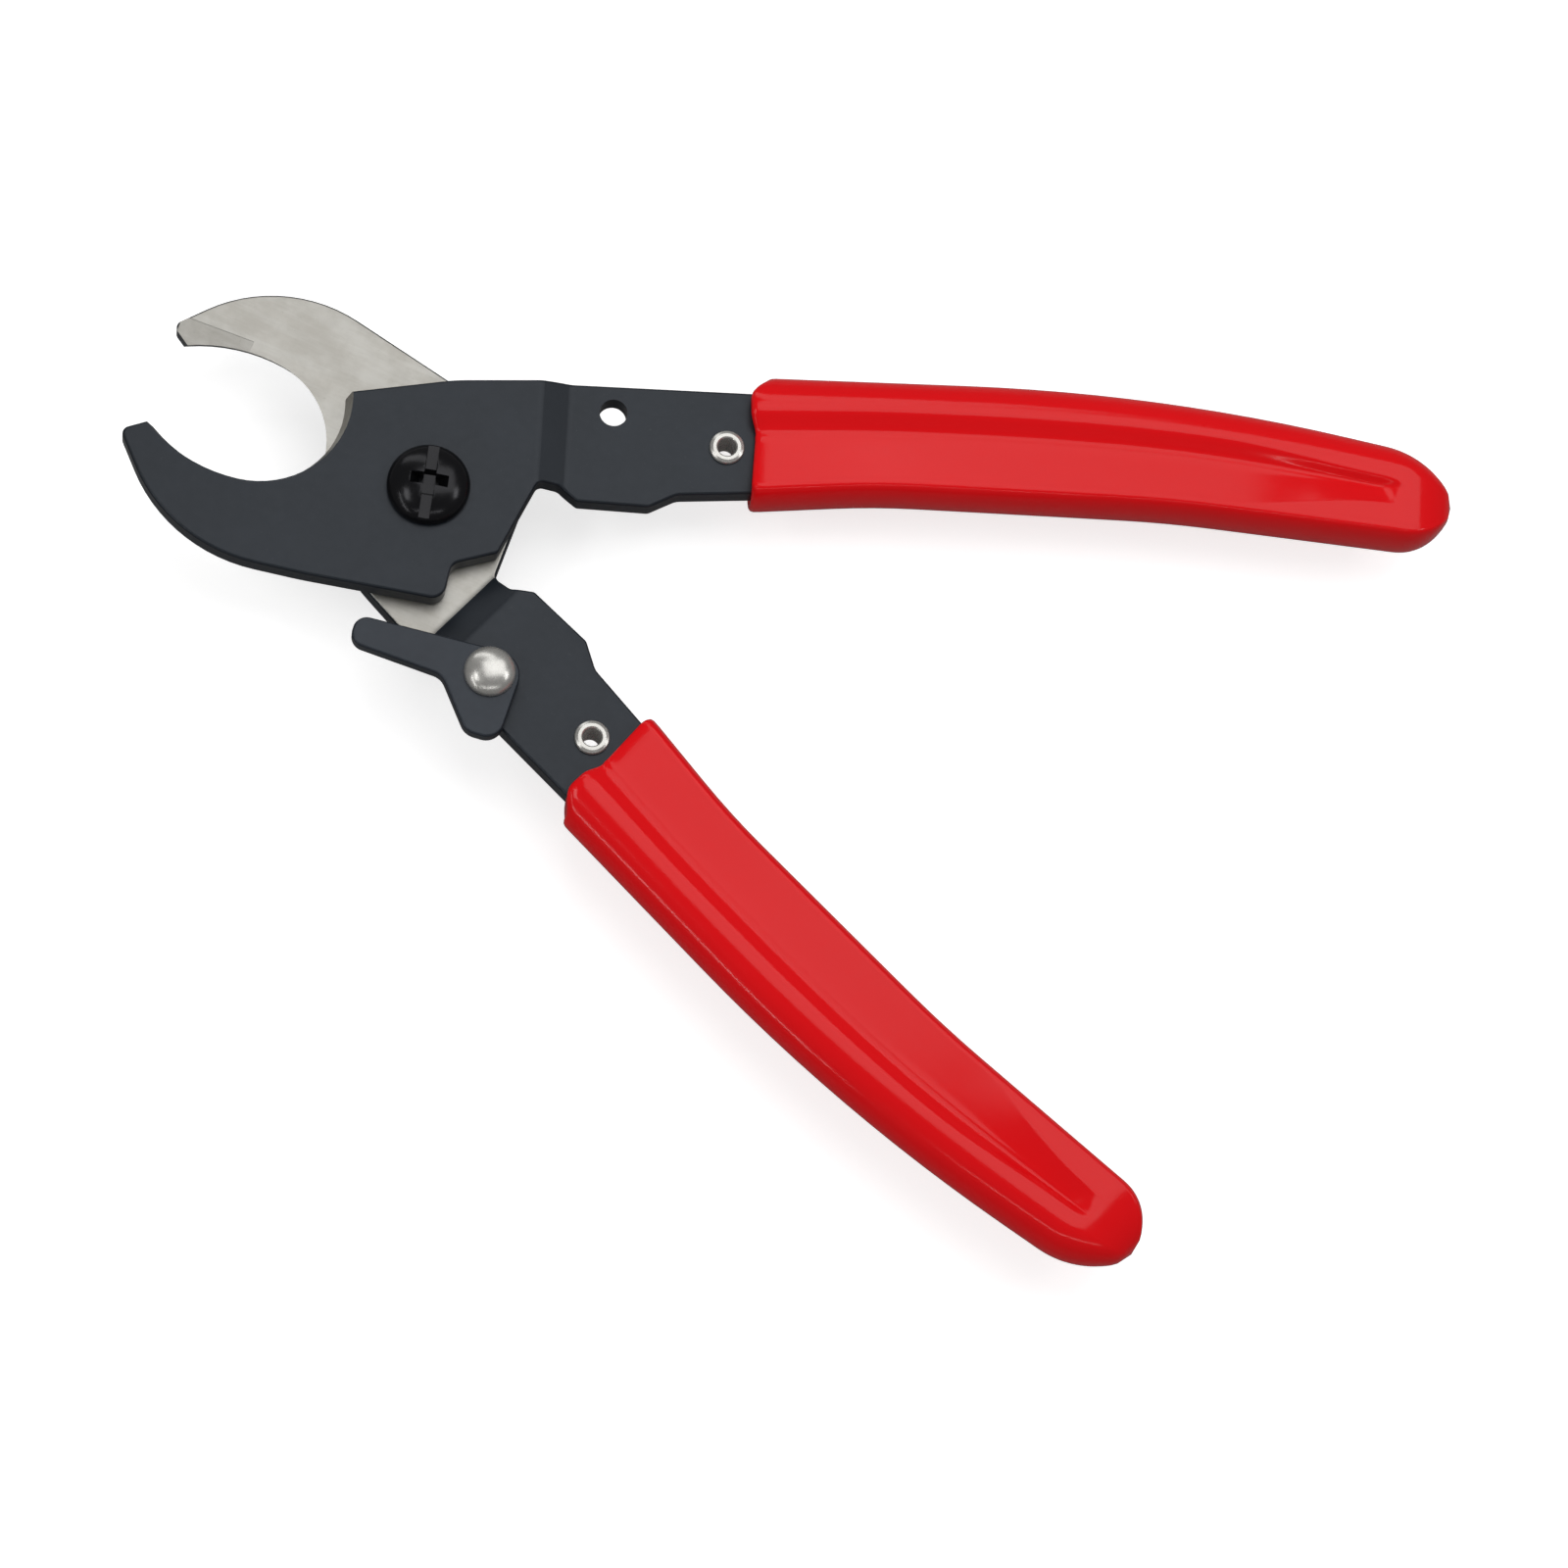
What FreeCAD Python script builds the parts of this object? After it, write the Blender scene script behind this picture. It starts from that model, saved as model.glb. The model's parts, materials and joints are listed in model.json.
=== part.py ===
"""Plate cable cutter: two joggled plate arms on one pivot, a thumb latch, a return spring, two vinyl grips.

Frame: +Z is the pivot axis and points out of the screw-head side. +X runs from the pivot towards the grips
along the middle line of the tool, and Z = 0 is the end face of the pivot screw. The tool is wide open.
Each arm is drawn in its own arm frame, its place on the shut tool: grip towards +X and +Y, jaw towards -X.
The front arm is turned up by OPEN_HALF from there. The rear arm is mirrored, then turned down by OPEN_HALF.
"""

import FreeCAD, Part
import math
import os

V = FreeCAD.Vector
Z_AXIS = V(0, 0, 1)

# Driving dimensions, in millimetres and degrees
OPEN_HALF = 20.5          # each arm's turn from shut to wide open
PLATE = 3.0               # thickness of both arm plates
STEP = PLATE / 2          # each arm's joggle, which brings both tangs into one plane
JOGGLE_START = 13.3
JOGGLE_END = 17.1
BEND_R = 2.0
EDGE_R = 0.35             # rounding of the blanked edges
RUN = 0.05                # radial running clearance

# Pivot stack, from the screw's end face upwards
SCREW_R = 2.5
SCREW_STANDS_OUT = 0.5
NUT_H = 2.7
NUT_ACROSS_FLATS = 8.0
RETAINER_H = 0.8
RETAINER_R = 7.4
COLLAR_H = 3.2
COLLAR_R = 4.7
END_PLAY = 0.1
BUSH_R = 3.5
REAR_BACK_Z = SCREW_STANDS_OUT + NUT_H + RETAINER_H + COLLAR_H + END_PLAY
SHEAR_Z = REAR_BACK_Z + PLATE
FRONT_Z = SHEAR_Z + PLATE
TANG_BACK_Z = SHEAR_Z - STEP
TANG_FRONT_Z = SHEAR_Z + STEP
HEAD_R = 5.2
HEAD_H = 2.9
HEAD_RIM = 0.45
HEAD_CHAMFER = 0.22       # under the head's rim
HEAD_SLOT_TURN = 106.0    # slot direction from +X
HEAD_SLOT_W = 1.4
HEAD_SLOT_DEPTH = 1.5
CROSS_LONG = 6.2
CROSS_W = 1.5
CROSS_DEPTH = 2.3
CROSS_TAPER = 0.4         # length of a wing's floor as a share of its length at the top
SCREW_TIP_CHAMFER = 0.4
HEX_CHAMFER = 0.2         # how far the nut's chamfer bites inside its flats
HEX_CHAMFER_RISE = 0.58   # its height over its width, for a 30 degree chamfer

# Jaws, in the arm frame: centre and radius of the throat, radius of the nose arc, and the direction
# from the throat's centre to where the nose arc takes over
FRONT_OPENING = ((-21.75, 10.6), 11.7, 19.5, -99.0)
REAR_OPENING = ((-21.8, 11.95), 11.35, 19.8, -105.0)
BEVEL = 0.9               # how far the cutting edge stands out past the back of the bevel
TIP_RELIEF_AT = (-38.0, 5.0)
TIP_RELIEF_BOX = (9.5, 4.0, 2.0)
TIP_RELIEF_SINK = 0.07    # how deep the relief is along its shallow side
TIP_RELIEF_TILT = -7.0    # how the relief slopes down towards the nose's outer edge
TIP_RELIEF_TURN = -24.0   # its direction in the plate's plane

# Tangs and what they carry, in the arm frame
PAD_Y = 0.02              # stop pads, which meet on the middle line
TANG_HOLE = (22.5, 12.1)
TANG_HOLE_R = 1.75
EYELET_AT = (36.9, 8.6)
EYELET_BORE_R = 1.2
EYELET_R = 1.6
EYELET_LIP_R = 2.2
EYELET_LIP_H = 0.6
EYELET_BACK_LIP_R = 2.35
EYELET_BACK_LIP_H = 0.55

# Return spring
WIRE = 0.9
COIL_R = 5.65
COIL_PITCH = 0.95
COIL_TURNS = 2            # whole turns, before the part turn from one leg round to the other
COIL_GAP = 0.06           # from the coil to the rear plate
EYE_GAP = 0.12            # from an eye's wire to its eyelet, to the tang and to the eyelet's back lip
EYE_STEPS = 10
EYE_STEP = 28.0           # turn between the points that draw an eye
LEG_RISE_START = 13.0     # along the leg, from the coil
LEG_RISE_END = 26.0

# Latch
LATCH_H = 2.0
LATCH_EDGE_R = 0.3
LATCH_WASHER_R = 3.0
LATCH_WASHER_H = 0.3
RIVET_R = 1.5
RIVET_DOME_R = 3.2
RIVET_DOME_H = 1.7
RIVET_RIM = 0.15          # straight edge under the dome
RIVET_PLAY = 0.05         # between the lever and the rivet's head
BURR_R = 2.7
BURR_H = 0.6
TAIL_R = 2.15
TAIL_H = 0.9

# Grips, in the arm frame
GRIP_START = 39.3
GRIP_HALF_H = 4.0
GRIP_EDGE_R = 3.2
VALLEY_R = 6.0
VALLEY_DEPTH = 0.8
VALLEY_LINE = [(GRIP_START - 8, 9.6), (80.0, 11.9), (117.0, 9.9)]
TANG_END = 116.0


def on_arm(shape, front):
    """Moves a shape from the arm frame to the open tool. The rear arm is mirrored first."""
    if not front:
        shape = shape.mirror(V(0, 0, 0), V(0, 1, 0))
    shape.rotate(V(0, 0, 0), Z_AXIS, OPEN_HALF if front else -OPEN_HALF)
    return shape


def place(point, front):
    """Where a point of the arm frame is on the open tool."""
    turn = math.radians(OPEN_HALF)
    x = point[0] * math.cos(turn) - point[1] * math.sin(turn)
    y = point[0] * math.sin(turn) + point[1] * math.cos(turn)
    return x, (y if front else -y)


def prism(edges, low, high):
    """A solid from a closed chain of edges, from height low to height high."""
    face = Part.Face(Part.Wire(edges))
    face.translate(V(0, 0, low))
    return face.extrude(V(0, 0, high - low))


def disc(at, radius, low, high):
    return Part.makeCylinder(radius, high - low, V(at[0], at[1], low))


def ring(at, outer, inner, low, high):
    return disc(at, outer, low, high).cut(disc(at, inner, low - 1, high + 1))


def rounded(shape, radius, wanted):
    """The shape with the wanted edges rounded."""
    return shape.makeFillet(radius, [e for e in shape.Edges if wanted(e)])


def revolved(profile, at):
    """A solid of revolution about Z from a closed list of (radius, height) corners."""
    points = [V(r, 0, z) for r, z in profile]
    face = Part.Face(Part.makePolygon(points + points[:1]))
    solid = face.revolve(V(0, 0, 0), Z_AXIS, 360)
    solid.translate(V(at[0], at[1], 0))
    return solid


def dome_curve(radius, low, height):
    """A quarter ellipse in the XZ plane, from the rim at height low up to the axis."""
    steps = 10
    curve = Part.BSplineCurve()
    quarter = [math.pi / 2 * i / steps for i in range(steps + 1)]
    curve.interpolate([V(radius * math.cos(t), 0, low + height * math.sin(t)) for t in quarter])
    return curve


# ---------------------------------------------------------------- arms

TANG = [
    (9.1, -8.05, 0.7),
    (13.6, 1.9, 1.2),
    (16.2, 1.8, 1.2),
    (18.6, PAD_Y, 0.8),
    (27.6, PAD_Y, 1.2),
    (31.0, 1.9, 2.5),
    (66.0, 5.4, 80.0),
    (TANG_END, 5.2, 3.4),
    (TANG_END, 13.2, 3.4),
    (88.0, 17.4, 90.0),
    (38.0, 16.1, 60.0),
    (15.0, 15.4, 40.0),
    (2.5, 14.35, 25.0),
    (-12.0, 11.4, 0.0),
]
GRIP = [
    (GRIP_START + 0.9, 1.3, 0.0),
    (GRIP_START, 18.55, 0.0),
    (91.0, 20.75, 235.0),
    (124.2, 15.3, 12.0),
    (130.1, 8.8, 4.5),
    (125.4, 2.6, 6.2),
    (93.0, 4.25, 150.0),
    (56.0, 3.35, 100.0),
]
TOOTH = [(2.72, -14.7, 1.8), (3.55, -9.9, 1.6)]
LATCH = [
    (1.9, -4.7, 3.2),
    (6.9, 5.6, 2.2),
    (3.2, 7.6, 2.4),
    (-3.9, 4.5, 2.2),
    (-15.0, 9.6, 1.8),
    (-16.7, 6.25, 1.75),
]
FRONT_JAW = [(-32.0, 7.0, 0.0), (-38.6, 4.5, 1.0), (-31.7, -10.0, 21.0), (-15.0, -12.65, 60.0)]
REAR_JAW = [(-33.6, 7.5, 0.0), (-38.0, 6.7, 0.9), (-33.1, -8.2, 18.5), (-15.0, -11.5, 60.0)]


def rounded_outline(corners):
    """Edges of a closed outline given as (x, y, corner radius), each corner replaced by its tangent arc."""
    count = len(corners)
    starts, ends, arcs = [], [], []
    for i in range(count):
        x, y, radius = corners[i]
        here = V(x, y, 0)
        before = (V(*corners[i - 1][:2], 0) - here).normalize()
        after = (V(*corners[(i + 1) % count][:2], 0) - here).normalize()
        half = before.getAngle(after) / 2
        back = radius / math.tan(half)
        starts.append(here + before * back)
        ends.append(here + after * back)
        if radius:
            middle = (before + after).normalize()
            through = here + middle * (radius / math.sin(half) - radius)
            arcs.append(Part.Arc(starts[i], through, ends[i]).toShape())
        else:
            arcs.append(None)
    edges = []
    for i in range(count):
        if arcs[i]:
            edges.append(arcs[i])
        edges.append(Part.makeLine(ends[i], starts[(i + 1) % count]))
    return edges


def arm_outline(front):
    return rounded_outline(TANG + (FRONT_JAW if front else REAR_JAW) + TOOTH)


def side_profile(front):
    """The joggled plate seen from the side, as a bar across the whole arm."""
    far = 200.0
    blade_low = SHEAR_Z if front else SHEAR_Z - PLATE
    tang_low = TANG_BACK_Z
    corners = [(-far, blade_low), (JOGGLE_START, blade_low), (JOGGLE_END, tang_low), (far, tang_low)]
    back = [(x, z + PLATE) for x, z in reversed(corners)]
    points = [V(x, -far, z) for x, z in corners + back]
    bar = Part.Face(Part.makePolygon(points + points[:1])).extrude(V(0, 2 * far, 0))

    def is_bend(edge):
        p = edge.CenterOfMass
        return abs(p.y) < 1e-6 and JOGGLE_START - 0.1 < p.x < JOGGLE_END + 0.1

    return bar.makeFillet(BEND_R, [e for e in bar.Edges if is_bend(e)])


def opening(front):
    """The jaw's bevelled opening: a throat cone and, beyond the blend line, a wider nose cone.

    The cutting edge is at the shear plane, where the opening is smallest.
    """
    grown = 1.0           # the cutter runs this far past both faces
    per_mm = BEVEL / PLATE
    low = SHEAR_Z - grown if front else SHEAR_Z - PLATE - grown
    high = low + PLATE + 2 * grown
    centre, throat_r, nose_r, blend = FRONT_OPENING if front else REAR_OPENING
    direction = V(math.cos(math.radians(blend)), math.sin(math.radians(blend)), 0)
    throat_at = V(*centre, low)
    nose_at = throat_at - direction * (nose_r - throat_r)

    def cone(at, radius):
        edge = radius - (BEVEL if front else 0)
        at_low = edge - grown * per_mm if front else edge + (PLATE + grown) * per_mm
        at_high = edge + (PLATE + grown) * per_mm if front else edge - grown * per_mm
        return Part.makeCone(at_low, at_high, high - low, at)

    reach = 60.0
    side = Part.makeBox(reach, reach, high - low)
    side.rotate(V(0, 0, 0), Z_AXIS, blend - 90)
    side.translate(throat_at)
    side.translate(direction * -0.01)
    return cone(throat_at, throat_r).fuse(cone(nose_at, nose_r).common(side))


def is_blanked_edge(edge):
    """Edges along the flat faces, away from the cutting edge, the jaw tips and the hidden tang."""
    p = edge.CenterOfMass
    box = edge.BoundBox
    flat = box.ZLength < 1e-6 and edge.Length > 0.2
    inside_jaw = p.x < -9.0 and p.y > -2.5
    hidden = box.XMax > GRIP_START + 2
    return flat and not inside_jaw and not hidden and not is_bend_line(edge)


def is_bend_line(edge):
    p = edge.CenterOfMass
    return JOGGLE_START - 2 < p.x < JOGGLE_END + 2 and edge.BoundBox.XLength < 1e-6


def arm(front):
    outline = arm_outline(front)
    low = REAR_BACK_Z - 5
    body = prism(outline, low, FRONT_Z + 5).common(side_profile(front))
    body = body.cut(opening(front))
    body = keep_arm(body)
    body = rounded(body, EDGE_R, is_blanked_edge)
    pivot_r = BUSH_R if front else BUSH_R + RUN
    body = body.cut(disc((0, 0), pivot_r, low, FRONT_Z + 5))
    body = body.cut(disc(TANG_HOLE, TANG_HOLE_R if front else RIVET_R, low, FRONT_Z + 5))
    body = body.cut(disc(EYELET_AT, EYELET_R, low, FRONT_Z + 5))
    if not front:
        body = body.cut(tip_relief())
    return on_arm(body, front)


def keep_arm(shape):
    """The largest solid, without the sliver that the opening leaves beyond the jaw."""
    return max(shape.Solids, key=lambda s: s.Volume)


def tip_relief():
    """A shallow ground step on the shear face of the rear jaw's nose, so that the noses pass freely."""
    cutter = Part.makeBox(*TIP_RELIEF_BOX)
    cutter.rotate(V(0, 0, 0), V(1, 0, 0), TIP_RELIEF_TILT)
    cutter.rotate(V(0, 0, 0), Z_AXIS, TIP_RELIEF_TURN)
    cutter.translate(V(*TIP_RELIEF_AT, SHEAR_Z - TIP_RELIEF_SINK))
    return cutter


# ---------------------------------------------------------------- pivot

def pivot_screw():
    """Pan head with a cross recess and a slot, over a plain shank."""
    seat = V(0, 0, FRONT_Z)
    curve = dome_curve(HEAD_R, FRONT_Z + HEAD_RIM, HEAD_H - HEAD_RIM)
    chamfer_in = V(HEAD_R - HEAD_CHAMFER, 0, FRONT_Z)
    chamfer_out = V(HEAD_R, 0, FRONT_Z + HEAD_CHAMFER)
    edges = [
        Part.makeLine(seat, chamfer_in),
        Part.makeLine(chamfer_in, chamfer_out),
        Part.makeLine(chamfer_out, curve.StartPoint),
        curve.toShape(),
        Part.makeLine(curve.EndPoint, seat),
    ]
    head = Part.Face(Part.Wire(edges)).revolve(V(0, 0, 0), Z_AXIS, 360)
    tip = SCREW_TIP_CHAMFER
    top_z = FRONT_Z + HEAD_H
    inside = FRONT_Z + HEAD_RIM
    shank = revolved([(0, 0), (SCREW_R - tip, 0), (SCREW_R, tip), (SCREW_R, inside), (0, inside)], (0, 0))
    screw = head.fuse(shank)
    corner = V(-HEAD_R - 1, -HEAD_SLOT_W / 2, top_z - HEAD_SLOT_DEPTH)
    slot = Part.makeBox(2 * HEAD_R + 2, HEAD_SLOT_W, HEAD_SLOT_DEPTH + 1, corner)
    cross = [cross_wing(turn, top_z) for turn in (0, 90)]
    recess = slot.fuse(cross[0]).fuse(cross[1])
    recess.rotate(V(0, 0, 0), Z_AXIS, HEAD_SLOT_TURN)
    return screw.cut(recess).removeSplitter()


def cross_wing(turn, top_z):
    """One wing of the cross recess, narrowing with depth."""
    half_top = CROSS_LONG / 2
    half_low = half_top * CROSS_TAPER
    section = [V(-half_low, 0, top_z - CROSS_DEPTH), V(half_low, 0, top_z - CROSS_DEPTH)]
    section += [V(half_top, 0, top_z + 1), V(-half_top, 0, top_z + 1)]
    wing = Part.Face(Part.makePolygon(section + section[:1])).extrude(V(0, CROSS_W, 0))
    wing.translate(V(0, -CROSS_W / 2, 0))
    wing.rotate(V(0, 0, 0), Z_AXIS, turn)
    return wing


def pivot_bushing():
    return ring((0, 0), BUSH_R, SCREW_R, REAR_BACK_Z - END_PLAY, FRONT_Z)


def spring_collar():
    low = SCREW_STANDS_OUT + NUT_H + RETAINER_H
    return ring((0, 0), COLLAR_R, SCREW_R, low, low + COLLAR_H)


def retaining_washer():
    low = SCREW_STANDS_OUT + NUT_H
    washer = ring((0, 0), RETAINER_R, SCREW_R, low, low + RETAINER_H)
    return rounded(washer, 0.15, lambda e: e.BoundBox.ZLength < 1e-6 and e.BoundBox.XMax > SCREW_R + 1)


def pivot_nut():
    """Hexagon nut with chamfered corners on its outer face."""
    corner = NUT_ACROSS_FLATS / math.sqrt(3)
    turns = [math.radians(60 * i) for i in range(6)]
    points = [V(corner * math.cos(t), corner * math.sin(t), SCREW_STANDS_OUT) for t in turns]
    blank = Part.Face(Part.makePolygon(points + points[:1])).extrude(V(0, 0, NUT_H))
    flat = NUT_ACROSS_FLATS / 2 - HEX_CHAMFER
    rise = (corner - flat) * HEX_CHAMFER_RISE
    chamfer = Part.makeCone(flat, corner, rise, V(0, 0, SCREW_STANDS_OUT))
    above = disc((0, 0), corner + 1, SCREW_STANDS_OUT + rise, SCREW_STANDS_OUT + NUT_H)
    nut = blank.common(chamfer.fuse(above))
    return nut.cut(disc((0, 0), SCREW_R, -1, SHEAR_Z))


# ---------------------------------------------------------------- eyelets and return spring

def eyelet(front):
    """Tubular rivet: a rolled lip in front of the tang, and a wider one that holds the spring eye behind."""
    lip, top = EYELET_LIP_R, EYELET_LIP_H
    back_lip, back = EYELET_BACK_LIP_R, EYELET_BACK_LIP_H
    back_z = TANG_BACK_Z - WIRE - 2 * EYE_GAP
    rolled = 0.15         # rounding of the bore's mouths
    profile = [
        (EYELET_BORE_R + rolled, TANG_FRONT_Z + top),
        (lip - 0.75 * top, TANG_FRONT_Z + top),
        (lip - 0.2 * top, TANG_FRONT_Z + 0.75 * top),
        (lip, TANG_FRONT_Z + 0.4 * top),
        (lip - 0.15 * top, TANG_FRONT_Z),
        (EYELET_R, TANG_FRONT_Z),
        (EYELET_R, back_z),
        (back_lip, back_z),
        (back_lip, back_z - 0.55 * back),
        (back_lip - 0.45 * back, back_z - back),
        (EYELET_BORE_R + rolled, back_z - back),
        (EYELET_BORE_R, back_z - back + rolled),
        (EYELET_BORE_R, TANG_FRONT_Z + top - rolled),
    ]
    return revolved(profile, place(EYELET_AT, front))


def spring_side(front, coil_z):
    """Points from the coil along one leg and round its eye. The rear leg is the front one's mirror image.

    Returns the points and the direction on the coil where the leg leaves it.
    """
    eye_x, eye_y = place(EYELET_AT, True)
    reach = math.hypot(eye_x, eye_y)
    eye_r = EYELET_R + WIRE / 2 + EYE_GAP
    leave = math.atan2(eye_y, eye_x) + math.acos((COIL_R - eye_r) / reach)
    start = (COIL_R * math.cos(leave), COIL_R * math.sin(leave))
    end = (eye_x + eye_r * math.cos(leave), eye_y + eye_r * math.sin(leave))
    long = math.hypot(end[0] - start[0], end[1] - start[1])
    eye_z = TANG_BACK_Z - WIRE / 2 - EYE_GAP
    points = []
    for along in range(2, int(long), 2):
        share = along / long
        rise = min(1.0, max(0.0, (along - LEG_RISE_START) / (LEG_RISE_END - LEG_RISE_START)))
        rise = rise * rise * (3 - 2 * rise)
        x = start[0] + (end[0] - start[0]) * share
        y = start[1] + (end[1] - start[1]) * share
        points.append((x, y, coil_z + (eye_z - coil_z) * rise))
    for i in range(EYE_STEPS + 1):
        turn = leave - math.radians(EYE_STEP * i)
        points.append((eye_x + eye_r * math.cos(turn), eye_y + eye_r * math.sin(turn), eye_z))
    if not front:
        points = [(x, -y, z) for x, y, z in points]
        leave = -leave
    return points, leave


def return_spring():
    """Torsion spring round the collar, with an eye round each eyelet."""
    top_z = REAR_BACK_Z - WIRE / 2 - COIL_GAP
    _, leave = spring_side(True, top_z)
    wound = 2 * math.pi * COIL_TURNS + 2 * (math.pi - leave)
    low_z = top_z - COIL_PITCH * wound / (2 * math.pi)
    front_leg, _ = spring_side(True, top_z)
    rear_leg, _ = spring_side(False, low_z)
    steps = 24 * COIL_TURNS + 8
    coil = []
    for i in range(steps + 1):
        turn = leave + wound * i / steps
        z = top_z + (low_z - top_z) * i / steps
        coil.append((COIL_R * math.cos(turn), COIL_R * math.sin(turn), z))
    path = list(reversed(front_leg)) + coil + rear_leg
    curve = Part.BSplineCurve()
    curve.interpolate([V(*p) for p in path])
    first = curve.value(curve.FirstParameter)
    along = curve.tangent(curve.FirstParameter)[0]
    sweep = Part.BRepOffsetAPI.MakePipeShell(Part.Wire(curve.toShape()))
    sweep.setBiNormalMode(Z_AXIS)
    sweep.add(Part.Wire(Part.Circle(first, along, WIRE / 2).toShape()))
    sweep.build()
    sweep.makeSolid()
    return sweep.shape()


# ---------------------------------------------------------------- latch

def latch_lever():
    """Finger, pivot boss and thumb lobe in one flat blank, drawn about its rivet."""
    low = TANG_FRONT_Z + LATCH_WASHER_H
    lever = prism(rounded_outline(LATCH), low, low + LATCH_H)
    lever = rounded(lever, LATCH_EDGE_R, lambda e: e.BoundBox.ZLength < 1e-6)
    lever = lever.cut(disc((0, 0), RIVET_R + RUN, low - 1, low + LATCH_H + 1))
    lever.translate(V(*TANG_HOLE, 0))
    return on_arm(lever, False)


def latch_rivet():
    """Domed head in front, plain shank, tail upset over the burr behind."""
    seat = TANG_FRONT_Z + LATCH_WASHER_H + LATCH_H + RIVET_PLAY
    curve = dome_curve(RIVET_DOME_R, seat + RIVET_RIM, RIVET_DOME_H - RIVET_RIM)
    edges = [
        Part.makeLine(V(0, 0, seat), V(RIVET_DOME_R, 0, seat)),
        Part.makeLine(V(RIVET_DOME_R, 0, seat), curve.StartPoint),
        curve.toShape(),
        Part.makeLine(curve.EndPoint, V(0, 0, seat)),
    ]
    head = Part.Face(Part.Wire(edges)).revolve(V(0, 0, 0), Z_AXIS, 360)
    tail_z = TANG_BACK_Z - BURR_H
    tail = revolved(
        [
            (0, tail_z - TAIL_H),
            (TAIL_R * 0.55, tail_z - TAIL_H),
            (TAIL_R * 0.9, tail_z - TAIL_H * 0.6),
            (TAIL_R, tail_z - TAIL_H * 0.15),
            (TAIL_R, tail_z),
            (RIVET_R, tail_z),
            (RIVET_R, seat + 2 * RIVET_RIM),
            (0, seat + 2 * RIVET_RIM),
        ],
        (0, 0),
    )
    rivet = head.fuse(tail).removeSplitter()
    x, y = place(TANG_HOLE, False)
    rivet.translate(V(x, y, 0))
    return rivet


def latch_washer():
    top = TANG_FRONT_Z + LATCH_WASHER_H
    return ring(place(TANG_HOLE, False), LATCH_WASHER_R, RIVET_R, TANG_FRONT_Z, top)


def rivet_burr():
    return ring(place(TANG_HOLE, False), BURR_R, RIVET_R, TANG_BACK_Z - BURR_H, TANG_BACK_Z)


# ---------------------------------------------------------------- grips

def grip(front):
    """Vinyl sleeve over the tang: full edges, a round end, and a shallow valley along each face."""
    sleeve = prism(rounded_outline(GRIP), SHEAR_Z - GRIP_HALF_H, SHEAR_Z + GRIP_HALF_H)

    def along_side(edge):
        return edge.BoundBox.ZLength < 1e-6 and edge.BoundBox.XMax > GRIP_START + 2

    sleeve = rounded(sleeve, GRIP_EDGE_R, along_side)
    for side in (1, -1):
        sleeve = sleeve.cut(valley(SHEAR_Z + side * (GRIP_HALF_H + VALLEY_R - VALLEY_DEPTH)))
    core = prism(rounded_outline(TANG), TANG_BACK_Z, TANG_FRONT_Z)
    return on_arm(sleeve.cut(core), front)


def valley(height):
    """Round-ended cutter along the middle of the grip."""
    start, middle, end = [V(x, y, height) for x, y in VALLEY_LINE]
    path = Part.Arc(start, middle, end)
    along = path.tangent(path.FirstParameter)[0]
    section = Part.Face(Part.Wire(Part.Circle(start, along, VALLEY_R).toShape()))
    bar = Part.Wire(path.toShape()).makePipe(section)
    return bar.fuse(Part.makeSphere(VALLEY_R, end))


PARTS = {
    "front_blade": lambda: arm(True),
    "rear_blade": lambda: arm(False),
    "pivot_screw": pivot_screw,
    "pivot_bushing": pivot_bushing,
    "spring_collar": spring_collar,
    "retaining_washer": retaining_washer,
    "pivot_nut": pivot_nut,
    "return_spring": return_spring,
    "front_eyelet": lambda: eyelet(True),
    "rear_eyelet": lambda: eyelet(False),
    "latch_lever": latch_lever,
    "latch_rivet": latch_rivet,
    "latch_washer": latch_washer,
    "rivet_burr": rivet_burr,
    "front_grip": lambda: grip(True),
    "rear_grip": lambda: grip(False),
}


def main():
    os.makedirs("parts", exist_ok=True)
    for name, build in PARTS.items():
        shape = build()
        solids = shape.Solids
        if len(solids) != 1 or not shape.isValid():
            print("look at", name, len(solids), "solids, valid", shape.isValid())
        solids[0].exportStep(f"parts/{name}.step")
        print(name, round(sum(s.Volume for s in solids), 1), "mm3")


main()
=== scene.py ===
"""Looks for the cable cutter: materials for every CAD part, finer grips and spring, light and camera."""

import json
import math

import bpy
from mathutils import Matrix, Vector


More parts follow.
